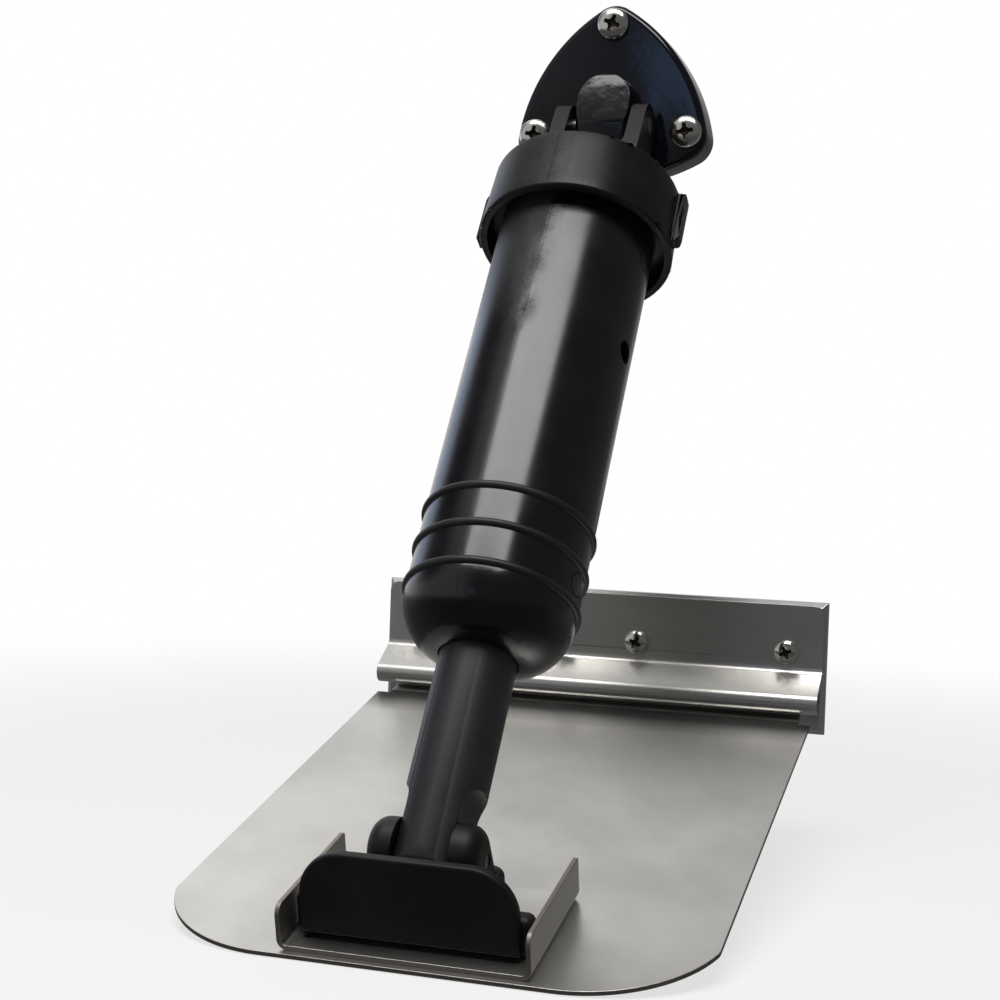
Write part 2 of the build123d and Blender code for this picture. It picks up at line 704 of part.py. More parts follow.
# Cylinder body: a tube with a threaded collar end, ring grooves, a port and a domed lower end
dome_edge = dome_end - dome_top
dome_mid = cylinder_radius - dome_edge
rod_hole = rod_radius + wiper_land_gap
hole_rim = -dome_top - sqrt(dome_edge**2 - (rod_hole - dome_mid) ** 2)
bush_radius = rod_radius + pin_fit + bush_wall
bush_top = dome_floor - bush_flange
bush_end = bush_top + bush_length
wiper_radius = rod_radius + wiper_wall
wiper_end = wiper_place + wiper_length
port_turn = radians(port_angle)
port_out = Vector(1, 0, 0) * cos(port_turn) + actuator_rear * sin(port_turn)
mark_floor = sqrt(cylinder_radius**2 - (port_dia / 2) ** 2) - mark_depth
with BuildPart() as cylinder:
    with BuildSketch(actuator_turn) as cylinder_half:
        with BuildLine() as cylinder_line:
            Polyline(
                (rod_hole, hole_rim),
                (rod_hole, -wiper_end),
                (wiper_radius + seat_fit, -wiper_end),
                (wiper_radius + seat_fit, -wiper_place),
                (rod_hole, -wiper_place),
                (rod_hole, -bush_end),
                (bush_radius + seat_fit, -bush_end),
                (bush_radius + seat_fit, -dome_floor),
                (bore_radius, -dome_floor),
                (bore_radius, -cylinder_top),
                (thread_radius, -cylinder_top),
                (thread_radius, -cylinder_top - thread_length),
                (cylinder_radius, -cylinder_top - thread_length),
                (cylinder_radius, -dome_top),
            )
            RadiusArc((cylinder_radius, -dome_top), (rod_hole, hole_rim), dome_edge)
        make_face()
        for ring_place in ring_places.values():
            with Locations((ring_radius, -ring_place)):
                Circle(ring_section / 2 + seat_fit, mode=Mode.SUBTRACT)
    revolve(axis=actuator_axis)
    port_at = upper_at - actuator_up * port_place
    with BuildSketch(Plane(origin=port_at, x_dir=actuator_up, z_dir=port_out)) as port:
        Circle(port_dia / 2)
    extrude(amount=cylinder_radius + cut_margin, mode=Mode.SUBTRACT)
    for mark_place in mark_places:
        mark_at = upper_at - actuator_up * mark_place + port_out * mark_floor
        with BuildSketch(Plane(origin=mark_at, x_dir=actuator_up, z_dir=port_out)) as mark:
            Circle(port_dia / 2)
            Circle(port_dia / 2 - mark_line, mode=Mode.SUBTRACT)
        extrude(amount=cylinder_radius - mark_floor + cut_margin, mode=Mode.SUBTRACT)
cylinder.part.label = "cylinder_body"
export_step(cylinder.part, "parts/cylinder_body.step")

# Rubber rings that close or open the ports, each in its own groove
for ring_name, ring_place in ring_places.items():
    with BuildPart() as ring:
        with BuildSketch(actuator_turn) as ring_half:
            with Locations((ring_radius, -ring_place)):
                Circle(ring_section / 2)
        revolve(axis=actuator_axis)
    ring.part.label = ring_name
    export_step(ring.part, f"parts/{ring_name}.step")

# Guide bush: a flanged sleeve in the dome that the rod slides in
with BuildPart() as bush:
    with BuildSketch(actuator_turn) as bush_half:
        ring_profile(rod_radius + pin_fit, bush_radius, bush_top, bush_end)
        ring_profile(rod_radius + pin_fit, bush_flange_radius, bush_top, dome_floor)
    revolve(axis=actuator_axis)
bush.part.label = "rod_guide_bush"
export_step(bush.part, "parts/rod_guide_bush.step")

# Wiper: a ring in the mouth of the dome that keeps grit off the bush
with BuildPart() as wiper:
    with BuildSketch(actuator_turn) as wiper_half:
        ring_profile(rod_radius + pin_fit, wiper_radius, wiper_place, wiper_end)
        chamfer(wiper_half.vertices().sort_by(Axis.X)[:2], length=wiper_chamfer)
    revolve(axis=actuator_axis)
wiper.part.label = "rod_wiper"
export_step(wiper.part, "parts/rod_wiper.step")

# Rod: a round bar with a spigot for the piston and a flat tongue cut over the foot pin
spigot_end = piston_top + seat_fit
tongue_half = tongue_width / 2
tongue_end = reach + tongue_radius
with BuildPart() as rod:
    with BuildSketch(actuator_turn) as rod_half:
        ring_profile(0, spigot_radius, spigot_end, piston_bottom)
        ring_profile(0, rod_radius, piston_bottom, tongue_end)
    revolve(axis=actuator_axis)
    with BuildSketch(actuator_side) as rod_side_view:
        with Locations((0, -(spigot_end + reach) / 2)):
            Rectangle(2 * rod_radius, reach - spigot_end)
        with Locations((0, -reach)):
            Circle(tongue_radius)
    extrude(amount=rod_radius, both=True, mode=Mode.INTERSECT)
    with BuildSketch(actuator_turn) as tongue_cut:
        with Locations((tongue_half, -tongue_start)):
            Rectangle(
                rod_radius, tongue_end - tongue_start + cut_margin, align=(Align.MIN, Align.MAX)
            )
        with Locations((tongue_half + tongue_runout, -tongue_start)):
            Circle(tongue_runout)
        mirror(about=Plane.YZ)
    extrude(amount=rod_radius + cut_margin, both=True, mode=Mode.SUBTRACT)
    with BuildSketch(actuator_side) as tongue_bore:
        with Locations((0, -reach)):
            Circle(foot_pin_dia / 2 + foot_pin_play)
    extrude(amount=rod_radius, both=True, mode=Mode.SUBTRACT)
    with BuildSketch(actuator_cross.offset(-spigot_end)) as piston_screw_bore:
        Circle(piston_screw_shank / 2 + seat_fit)
    extrude(amount=-piston_screw_length, mode=Mode.SUBTRACT)
rod.part.label = "actuator_rod"
export_step(rod.part, "parts/actuator_rod.step")

# Piston: a moulded disc on the spigot with a groove for its seal
piston_radius = bore_radius - piston_gap
piston_seal_radius = bore_radius - piston_seal_gap - piston_seal_section / 2
piston_seal_place = (piston_top + piston_bottom) / 2
with BuildPart() as piston:
    with BuildSketch(actuator_turn) as piston_half:
        ring_profile(spigot_radius + seat_fit, piston_radius, piston_top, piston_bottom)
        chamfer(piston_half.vertices().sort_by(Axis.X)[-2:], length=piston_chamfer)
        with Locations((piston_seal_radius, -piston_seal_place)):
            Circle(piston_seal_section / 2 + seat_fit, mode=Mode.SUBTRACT)
    revolve(axis=actuator_axis)
piston.part.label = "piston"
export_step(piston.part, "parts/piston.step")

# Piston seal in its groove
with BuildPart() as piston_seal:
    with BuildSketch(actuator_turn) as piston_seal_half:
        with Locations((piston_seal_radius, -piston_seal_place)):
            Circle(piston_seal_section / 2)
    revolve(axis=actuator_axis)
piston_seal.part.label = "piston_seal"
export_step(piston_seal.part, "parts/piston_seal.step")

# Washer and screw that clamp the piston on the rod's shoulder
washer_top = piston_top - washer_thickness
with BuildPart() as washer:
    with BuildSketch(actuator_turn) as washer_half:
        ring_profile(piston_screw_shank / 2 + seat_fit, washer_radius, washer_top, piston_top)
    revolve(axis=actuator_axis)
washer.part.label = "piston_washer"
export_step(washer.part, "parts/piston_washer.step")
clamp_screw = pan_screw(
    piston_screw_head,
    piston_screw_head_height,
    piston_screw_shank,
    washer_thickness + slide_gap,
    piston_screw_length,
)
with BuildPart() as piston_screw:
    with Locations(actuator_cross.offset(-washer_top)):
        add(clamp_screw)
piston_screw.part.label = "piston_screw"
export_step(piston_screw.part, "parts/piston_screw.step")

# Return spring between the head's plug and the piston, shown at the tab's lowest place
spring_mid = (spring_outside - spring_wire) / 2
spring_start = piston_top - spring_wire / 2 - seat_fit
spring_height = spring_start - plug_end - spring_wire / 2 - seat_fit
spring_at = upper_at - actuator_up * spring_start
with BuildPart() as spring:
    with BuildLine() as spring_line:
        coil = Helix(
            pitch=spring_height / spring_turns,
            height=spring_height,
            radius=spring_mid,
            center=spring_at,
            direction=actuator_up,
        )
    with BuildSketch(Plane(origin=coil @ 0, z_dir=coil % 0)) as wire:
        Circle(spring_wire / 2)
    sweep()
spring.part.label = "return_spring"
export_step(spring.part, "parts/return_spring.step")
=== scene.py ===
# %% [markdown]
# # A self-levelling trim tab for a small boat
#
# The object is a stainless plate that hinges on the transom, and one spring-loaded actuator of black
# nylon that holds it down. The solids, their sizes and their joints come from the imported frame. This
# script dresses them: it sets the view, lights it, gives every surface its finish, and replaces the
# pieces whose small forms count, such as the screws with their threads, the rounded mouldings, the
# sheared edges of sheet and the spring.
#
# Everything is in metres, in the frame of the part: +X along the hinge, +Y into the transom, +Z up,
# with the origin in the middle of the backing plate's rear face.

# %% The frame
import json
from math import atan, cos, pi, radians, sin, tau

import bmesh
import bpy
from mathutils import Matrix, Vector
from mathutils.bvhtree import BVHTree


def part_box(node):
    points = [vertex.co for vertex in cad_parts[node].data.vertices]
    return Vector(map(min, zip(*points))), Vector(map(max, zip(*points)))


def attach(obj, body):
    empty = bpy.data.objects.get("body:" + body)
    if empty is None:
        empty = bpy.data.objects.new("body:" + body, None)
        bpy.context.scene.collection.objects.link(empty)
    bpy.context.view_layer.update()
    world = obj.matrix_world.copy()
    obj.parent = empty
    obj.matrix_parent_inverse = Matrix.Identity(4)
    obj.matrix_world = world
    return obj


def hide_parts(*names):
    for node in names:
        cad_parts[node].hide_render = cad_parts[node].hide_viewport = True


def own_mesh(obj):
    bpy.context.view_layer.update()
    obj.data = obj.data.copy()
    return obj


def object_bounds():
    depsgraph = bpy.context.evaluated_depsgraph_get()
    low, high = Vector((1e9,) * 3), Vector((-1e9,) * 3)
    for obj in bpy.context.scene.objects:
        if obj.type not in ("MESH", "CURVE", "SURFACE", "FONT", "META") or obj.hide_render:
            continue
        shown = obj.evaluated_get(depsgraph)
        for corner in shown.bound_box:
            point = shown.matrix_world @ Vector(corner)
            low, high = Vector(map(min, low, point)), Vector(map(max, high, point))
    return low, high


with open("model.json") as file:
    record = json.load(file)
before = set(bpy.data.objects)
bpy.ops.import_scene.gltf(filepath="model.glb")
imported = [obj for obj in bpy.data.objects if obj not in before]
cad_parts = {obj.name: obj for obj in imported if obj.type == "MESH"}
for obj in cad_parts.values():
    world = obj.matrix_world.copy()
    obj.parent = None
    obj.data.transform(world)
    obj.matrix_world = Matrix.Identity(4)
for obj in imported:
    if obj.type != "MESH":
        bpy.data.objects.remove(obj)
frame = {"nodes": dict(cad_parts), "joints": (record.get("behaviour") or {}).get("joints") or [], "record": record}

cad_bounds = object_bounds()
mm = 0.001
nodes = frame["nodes"]
joints = {joint["name"]: joint for joint in frame["joints"]}
hinge = Vector(joints["plate_hinge"]["pos_m"])
upper_pin = Vector(joints["upper_pivot"]["pos_m"])
actuator_up = Vector(joints["rod_slide"]["axis"]).normalized()
actuator_rear = Vector((0, actuator_up.z, -actuator_up.y))
print("nodes:", len(nodes), "box:", [list(corner) for corner in cad_bounds])

# %% [markdown]
# ## The camera
#
# The photograph was taken from a little to the right of the tab and slightly above it. Its place, turn
# and lens were found by fitting the part's edges to the picture, so they are given here as they came
# out. The camera is rolled a little about its own line of sight, looks level along +Y, tips down, and
# then turns to the left about the vertical.

# %% Camera
camera_place = Vector((0.18267, -0.71124, 0.08564))
camera_turn = radians(17.795)
camera_tip = radians(1.916)
camera_roll = radians(1.960)
sensor_width_mm = 36.0
focal_length_mm = 64.66
nearest_seen = 10 * mm

lens = bpy.data.cameras.new("camera")
lens.sensor_width = sensor_width_mm
lens.lens = focal_length_mm
lens.clip_start = nearest_seen
camera = bpy.data.objects.new("camera", lens)
bpy.context.scene.collection.objects.link(camera)
camera.matrix_world = (
    Matrix.Translation(camera_place)
    @ Matrix.Rotation(camera_turn, 4, "Z")
    @ Matrix.Rotation(radians(90) - camera_tip, 4, "X")
    @ Matrix.Rotation(camera_roll, 4, "Z")
)
bpy.context.scene.camera = camera
bpy.context.scene.view_settings.view_transform = "Standard"
print("camera stands", round((camera_place - hinge).length, 3), "m from the hinge")

# %% [markdown]
# ## Writing materials by short calls
#
# A material here is a graph of nodes. Adding a node, setting its sockets and wiring it takes many
# lines, so this small class does it in one call each. Numbers that are the same all over a surface go
# straight onto the shader's own sockets.

# %% A helper for materials
finishes = {}


class Finish:
    """A material's graph around one Principled shader."""

    def __init__(self, name, **sockets):
        self.material = bpy.data.materials.new("look_" + name)
        finishes[name] = self.material
        self.material.use_nodes = True
        self.tree = self.material.node_tree
        self.tree.nodes.clear()
        self.shader = self.add("BsdfPrincipled", **sockets)
        output = self.add("OutputMaterial")
        self.wire(self.shader, "BSDF", output, "Surface")
        self.place = self.add("TexCoord")

    def add(self, kind, settings=(), **sockets):
        """A new shader node, with its settings and the values of its sockets."""
        node = self.tree.nodes.new("ShaderNode" + kind)
        for name, value in dict(settings).items():
            setattr(node, name, value)
        for name, value in sockets.items():
            node.inputs[name.replace("_", " ")].default_value = value
        return node

    def wire(self, source, out, target, into):
        self.tree.links.new(source.outputs[out], target.inputs[into])

    def coordinates(self, sizes=(1, 1, 1), turn=(0, 0, 0), centre=(0, 0, 0)):
        """Object coordinates seen from a centre, in a frame turned by turn, divided by sizes."""
        mapping = self.add("Mapping", {"vector_type": "TEXTURE"}, Location=centre)
        mapping.inputs["Rotation"].default_value = turn
        mapping.inputs["Scale"].default_value = sizes
        self.wire(self.place, "Object", mapping, "Vector")
        return mapping

    def noise(self, size, detail=4, roughness=0.55, stretch=(1, 1, 1), turn=(0, 0, 0)):
        """Noise whose blots are about size metres, longer where stretch is above one."""
        mapping = self.coordinates([part * size for part in stretch], turn)
        noise = self.add("TexNoise", Scale=1.0, Detail=detail, Roughness=roughness)
        self.wire(mapping, "Vector", noise, "Vector")
        return noise

    def ramp(self, source, out, low, high, dark=0.0, light=1.0):
        """The source's value, spread from low..high to dark..light and cut off beyond."""
        spread = self.add("MapRange", {"clamp": True})
        for socket, value in zip(spread.inputs[1:5], (low, high, dark, light)):
            socket.default_value = value
        self.wire(source, out, spread, "Value")
        return spread

    def sum(self, operation, first, second):
        """One Math node. first and second are numbers or (node, output) pairs."""
        node = self.add("Math", {"operation": operation})
        for index, item in enumerate((first, second)):
            if isinstance(item, tuple):
                self.tree.links.new(item[0].outputs[item[1]], node.inputs[index])
            else:
                node.inputs[index].default_value = item
        return node

    def tint(self, factor, dark, light):
        """A colour between dark and light, by factor, a (node, output) pair."""
        mix = self.add("Mix", {"data_type": "RGBA"})
        mix.inputs[6].default_value = (*dark, 1)
        mix.inputs[7].default_value = (*light, 1)
        self.tree.links.new(factor[0].outputs[factor[1]], mix.inputs[0])
        return mix

    def bump(self, source, out, height, strength=1.0, after=None):
        """Bump of a height in metres, on top of an earlier bump if there is one."""
        bump = self.add("Bump", Strength=strength, Distance=height)
        self.wire(source, out, bump, "Height")
        if after is not None:
            self.wire(after, "Normal", bump, "Normal")
        return bump

    def into(self, source, out, socket):
        """The source's output goes to a socket of the shader."""
        self.wire(source, out, self.shader, socket)

# %% [markdown]
# ## Light and floor
#
# The reflections tell of a room with one large bright panel overhead, a bright wall behind the object
# on the left and a dim room behind the camera. Metal and glossy nylon show that room more than their
# own colour. The one lamp stays at a plain level: a softbox above makes the broad band on the
# cylinder, and the world adds an even fill. What mirrors see of the world is painted by direction, and
# the camera itself sees plain white.
#
# The floor is a mix of matt white, which takes the object's shadow, and plain glowing white further out.
# Mirrors see a dimmer floor than the camera does, because a full white one, mirrored at a low angle,
# turned the black mouldings grey.

# %% Softbox
scene = bpy.context.scene
softbox_place = Vector((-0.02, -0.42, 0.96))
softbox_target = Vector((0.0, -0.05, 0.08))
softbox_width = 0.84
softbox_depth = 0.40
softbox_power = 6.9

lamp = bpy.data.lights.new("softbox", "AREA")
lamp.shape = "RECTANGLE"
lamp.size = softbox_width
lamp.size_y = softbox_depth
lamp.energy = softbox_power
softbox = bpy.data.objects.new("softbox", lamp)
softbox.location = softbox_place
softbox.rotation_euler = (softbox_target - softbox_place).to_track_quat("-Z", "Y").to_euler()
scene.collection.objects.link(softbox)
print("softbox is", round((softbox_place - softbox_target).length, 2), "m from the object")

# %% The room, as mirrors see it
class Room:
    """The world's graph: plain white for the camera, an even fill, and a painted room for gloss."""

    def __init__(self):
        world = bpy.data.worlds.new("room")
        world.use_nodes = True
        self.tree = world.node_tree
        self.tree.nodes.clear()
        self.direction = self.add("TexCoord")
        self.parts = self.add("SeparateXYZ")
        self.link(self.direction, "Generated", self.parts, 0)
        scene.world = world

    def add(self, kind, settings=(), values=()):
        node = self.tree.nodes.new("ShaderNode" + kind)
        for name, value in dict(settings).items():
            setattr(node, name, value)
        for index, value in dict(values).items():
            node.inputs[index].default_value = value
        return node

    def link(self, source, out, target, into):
        self.tree.links.new(source.outputs[out], target.inputs[into])

    def slope(self, source, out, start, end, low, high):
        """A smooth change from low at start to high at end."""
        settings = {"interpolation_type": "SMOOTHSTEP"}
        node = self.add("MapRange", settings, {1: start, 2: end, 3: low, 4: high})
        self.link(source, out, node, 0)
        return node

    def mix(self, factor, first, second):
        """A colour between two, each a colour or a (node, output) pair."""
        node = self.add("Mix", {"data_type": "RGBA"})
        for index, item in ((0, factor), (6, first), (7, second)):
            if isinstance(item, tuple) and not isinstance(item[0], (int, float)):
                self.link(*item, node, index)
            else:
                node.inputs[index].default_value = item
        return node

    def spot(self, towards, inner, outer):
        """One inside a cone of inner degrees about a direction, none beyond outer degrees."""
        dot = self.add("VectorMath", {"operation": "DOT_PRODUCT"})
        dot.inputs[1].default_value = Vector(towards).normalized()
        self.link(self.direction, "Generated", dot, 0)
        return self.slope(dot, "Value", cos(radians(outer)), cos(radians(inner)), 0, 1)


room = Room()
back_wall_right = 0.10
back_wall_left = 1.05
front_wall_right = 0.10
front_wall_left = 0.42
window_light = (0.85, 1.0, 1.35, 1)
doorway_shade = (0.06, 0.06, 0.07, 1)
blue_light = (0.45, 0.65, 1.1, 1)
window_towards = (-0.78, 0.55, 0.27)
doorway_towards = (-0.84, 0.12, 0.52)
blue_lamp_towards = (-0.15, -0.96, 0.22)
fill = (0.20, 0.20, 0.20, 1)
plain_white = (1, 1, 1, 1)
behind = room.slope(room.parts, "X", 0.40, -0.55, back_wall_right, back_wall_left)
before = room.slope(room.parts, "X", -0.10, -0.50, front_wall_right, front_wall_left)
back_share = room.slope(room.parts, "Y", -0.25, 0.35, 0, 1)
walls = room.mix((back_share, 0), (before, 0), (behind, 0))
window = room.spot(window_towards, 4, 15)
with_window = room.mix((window, 0), (walls, 2), window_light)
doorway = room.spot(doorway_towards, 8, 26)
with_doorway = room.mix((doorway, 0), (with_window, 2), doorway_shade)
blue_lamp = room.spot(blue_lamp_towards, 1, 5)
painted = room.mix((blue_lamp, 0), (with_doorway, 2), blue_light)

ray = room.add("LightPath")
mirrored = room.add("Math", {"operation": "MAXIMUM"})
room.link(ray, "Is Glossy Ray", mirrored, 0)
room.link(ray, "Is Transmission Ray", mirrored, 1)
lit = room.mix((mirrored, 0), fill, (painted, 2))
seen = room.mix((ray, "Is Camera Ray"), (lit, 2), plain_white)
background = room.add("Background", values={1: 1.0})
output = room.add("OutputWorld")
room.link(seen, 2, background, 0)
room.link(background, 0, output, 0)
print("world nodes:", len(room.tree.nodes))

# %% Floor
floor_gap = 0.2 * mm
floor_half = 3.0
shadow_radius = 0.22
white_radius = 0.75
glow_near = 0.70
glow_far = 1.0
front_y = -0.25
back_y = 0.15
mirrored_front = 0.05
mirrored_back = 0.16
floor_z = cad_bounds[0].z - floor_gap

floor_mesh = bpy.data.meshes.new("floor")
corners = [(-1, -1), (1, -1), (1, 1), (-1, 1)]
floor_corners = [(x * floor_half, y * floor_half, floor_z) for x, y in corners]
floor_mesh.from_pydata(floor_corners, [], [(0, 1, 2, 3)])
floor = bpy.data.objects.new("floor", floor_mesh)
scene.collection.objects.link(floor)

pale = bpy.data.materials.new("pale_floor")
pale.use_nodes = True
pale.node_tree.nodes.clear()


def floor_node(kind, **values):
    """A node of the floor's small graph."""
    node = pale.node_tree.nodes.new("ShaderNode" + kind)
    for name, value in values.items():
        node.inputs[name.replace("_", " ")].default_value = value
    return node


matt_white = (0.9, 0.9, 0.9, 1)
matt = floor_node("BsdfDiffuse", Color=matt_white)
white = floor_node("Emission", Color=plain_white, Strength=1.0)
floor_place = floor_node("TexCoord")
from_middle = floor_node("VectorMath")
from_middle.operation = "LENGTH"
glow_share = floor_node("MapRange")
glow_share.interpolation_type = "SMOOTHSTEP"
for index, value in zip(range(1, 5), (shadow_radius, white_radius, glow_near, glow_far)):
    glow_share.inputs[index].default_value = value
seen_floor = floor_node("MixShader")
mirror_floor = floor_node("Emission", Color=plain_white)
floor_parts = floor_node("SeparateXYZ")
mirror_strength = floor_node("MapRange")
for index, value in zip(range(1, 5), (front_y, back_y, mirrored_front, mirrored_back)):
    mirror_strength.inputs[index].default_value = value
floor_ray = floor_node("LightPath")
floor_shader = floor_node("MixShader")
floor_output = floor_node("OutputMaterial")
for source, out, target, into in (
    (floor_place, "Object", from_middle, 0),
    (floor_place, "Object", floor_parts, 0),
    (floor_parts, "Y", mirror_strength, 0),
    (mirror_strength, 0, mirror_floor, "Strength"),
    (from_middle, "Value", glow_share, 0),
    (glow_share, 0, seen_floor, 0),
    (matt, 0, seen_floor, 1),
    (white, 0, seen_floor, 2),
    (floor_ray, "Is Glossy Ray", floor_shader, 0),
    (seen_floor, 0, floor_shader, 1),
    (mirror_floor, 0, floor_shader, 2),
    (floor_shader, 0, floor_output, 0),
):
    pale.node_tree.links.new(source.outputs[out], target.inputs[into])
floor_mesh.materials.append(pale)
print("floor lies at", round(floor_z, 4))

# %% [markdown]
# ## Stainless steel
#
# The plate, the strap and the bracket are cold-rolled sheet. Such steel is never one grey: it has a fine
# grain along the rolling direction, soft cloudy patches, and faint smudges from hands. The grain is
# noise stretched along Y and Z, so that it stays along the sheet over every bend. The sheared edges are
# browner and rougher. Their place is known from the mesh, so it is stored on the faces as an attribute
# named "cut_edge", which the material reads. The Boolean that sinks a screw's recess marks it in the
# same way, as "recess", and the recess is coloured darker. Where the plate comes out from under the
# strap's bead, the bead's shade is painted into the plate's colour as a dark band: whole up to 7 mm in
# front of the bead and gone at 21 mm, measured along Y.

# %% Sheet steel
bead_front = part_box("hinge_strap")[0].y
# Painted shade in front of the bead: where it is whole, where it is gone, and how soon it stops under the bead.
painted_shade_full = 7 * mm
painted_shade_clear = 21 * mm
painted_shade_edge = 0.1 * mm
cloud_share = 0.62
smudge_share = 0.26
streak_share = 0.12
cloud_size = 55 * mm
smudge_size = 14 * mm
cut_rougher = 0.16
recess_rougher = 0.30
scratch_depth = 0.004 * mm


def steel(name, light, dark, rough, grain=0.15, cut=None, recess_tone=None, under_bead_shade=None, brushed=(1, 50, 50)):
    """Steel with grain, given in millimetres, clouds and smudges.

    The three optional colours are of the sheared edges, of the darker recesses, and of the painted shade that the
    strap's bead casts on the plate.
    """
    finish = Finish(name, Metallic=1.0, Roughness=rough)
    clouds = finish.noise(cloud_size, detail=3)
    smudges = finish.noise(smudge_size, detail=5, roughness=0.6, stretch=(1, 1.7, 1), turn=(0, 0, 0.7))
    streaks = finish.noise(grain * mm, detail=2, stretch=brushed)
    cloudy = finish.sum("MULTIPLY", (clouds, 0), cloud_share)
    smudgy = finish.sum("MULTIPLY", (smudges, 0), smudge_share)
    streaky = finish.sum("MULTIPLY", (streaks, 0), streak_share)
    soft = finish.sum("ADD", (cloudy, 0), (smudgy, 0))
    whole = finish.sum("ADD", (soft, 0), (streaky, 0))
    shade = finish.ramp(whole, 0, 0.36, 0.64)
    colour = finish.tint((shade, 0), dark, light)
    roughness = finish.ramp(whole, 0, 0.34, 0.66, rough + 0.06, rough - 0.05)
    marks = (("cut_edge", cut, cut_rougher), ("recess", recess_tone, recess_rougher))
    for attribute, tone, matt_by in marks:
        if tone is None:
            continue
        where = finish.add("Attribute", {"attribute_name": attribute})
        mixed = finish.add("Mix", {"data_type": "RGBA"})
        mixed.inputs[7].default_value = (*tone, 1)
        finish.tree.links.new(where.outputs["Fac"], mixed.inputs[0])
        finish.tree.links.new(colour.outputs[2], mixed.inputs[6])
        rougher = finish.sum("MULTIPLY", (where, "Fac"), matt_by)
        roughness = finish.sum("ADD", (roughness, 0), (rougher, 0))
        colour = mixed
    # Painted shade: the plate's colour is darkened in a band in front of the strap's bead, where the bead's shadow
    # falls.
    if under_bead_shade is not None:
        place = finish.add("SeparateXYZ")
        finish.wire(finish.place, "Object", place, 0)
        fading = finish.ramp(place, "Y", bead_front - painted_shade_clear, bead_front - painted_shade_full)
        outside = finish.ramp(place, "Y", bead_front, bead_front - painted_shade_edge)
        where = finish.sum("MULTIPLY", (fading, 0), (outside, 0))
        mixed = finish.add("Mix", {"data_type": "RGBA"})
        mixed.inputs[7].default_value = (*under_bead_shade, 1)
        finish.wire(where, 0, mixed, 0)
        finish.wire(colour, 2, mixed, 6)
        colour = mixed
    finish.into(colour, 2, "Base Color")
    finish.into(roughness, 0, "Roughness")
    scratches = finish.bump(streaks, 0, scratch_depth, 0.35)
    finish.into(scratches, "Normal", "Normal")


every_way = (1, 1, 1)
along_x = (50, 1, 1)
browned = (0.30, 0.27, 0.24)
# The colour of the painted shade in front of the strap's bead.
bead_painted_shade = (0.14, 0.14, 0.14)
# The colour of the screws' recesses, much darker than the heads.
darker_recess = (0.09, 0.075, 0.045)
steel("sheet_steel", (0.68, 0.665, 0.63), (0.56, 0.55, 0.525), 0.33, cut=browned, under_bead_shade=bead_painted_shade)
steel("backing_steel", (0.62, 0.62, 0.61), (0.52, 0.52, 0.52), 0.24)
steel(
    "screw_steel",
    (0.78, 0.77, 0.73),
    (0.68, 0.66, 0.61),
    0.17,
    grain=0.5,
    recess_tone=darker_recess,
    brushed=every_way,
)
# Painted shade: the pins' steel is given a much darker colour than the other steel, for the shade the pins lie in.
steel("pin_steel", (0.34, 0.34, 0.34), (0.24, 0.24, 0.24), 0.34, brushed=along_x)
steel("spring_steel", (0.50, 0.50, 0.50), (0.36, 0.36, 0.37), 0.30, brushed=every_way)
print("steel finishes:", sorted(finishes))

# %% [markdown]
# ## Black mouldings
#
# The mount, the collar, the cylinder, the rod and the foot are all black nylon, but each came from its
# own mould: the mount is polished, the cylinder and collar are satin with fine marks round them, and
# the rod and foot are matt. The colours are nearly the same, so the roughness and the bump carry the
# difference. Marks that run round the cylinder need coordinates along its leaning axis, which is why
# the mapping is turned about X by the actuator's lean. Left of the mould's seam the collar and the
# cylinder are scuffed: masks by angle and height tell where.

# %% Mouldings
default_patch = 20 * mm
paler_times = 1.7
paler_more = 0.0006
scuff_rougher = 0.07
handled_rougher = 0.02
lean = atan(actuator_up.y / actuator_up.z)
along_actuator = (-lean, 0, 0)
seam_angle = radians(5)
seam_blur = 0.01
strip_start = radians(2)
strip_full = radians(6)
strip_clear = radians(24)
strip_lead = radians(14)


def near_seam(finish, low, high):
    """Masks left of the mould's seam: all of that side, its upper end, and a strip from low to high."""
    place = finish.coordinates(turn=along_actuator, centre=upper_pin)
    split = finish.add("SeparateXYZ")
    finish.wire(place, 0, split, 0)
    across = finish.sum("MULTIPLY", (split, "X"), -1.0)
    ahead = finish.sum("MULTIPLY", (split, "Y"), -1.0)
    angle = finish.sum("ARCTAN2", (across, 0), (ahead, 0))
    left = finish.ramp(angle, 0, seam_angle - seam_blur, seam_angle + seam_blur)
    right = finish.ramp(angle, 0, seam_angle - strip_lead, seam_angle - strip_start)
    strip = finish.ramp(angle, 0, seam_angle + strip_clear, seam_angle + strip_full)
    above = finish.ramp(split, "Z", -high - 12 * mm, -high + 4 * mm)
    below = finish.ramp(split, "Z", -low + 8 * mm, -low - 4 * mm)
    upper_end = finish.ramp(split, "Z", -high, -low)
    beside = finish.sum("MULTIPLY", (strip, 0), (right, 0))
    for limit in (above, below):
        beside = finish.sum("MULTIPLY", (beside, 0), (limit, 0))
    return left, upper_end, beside


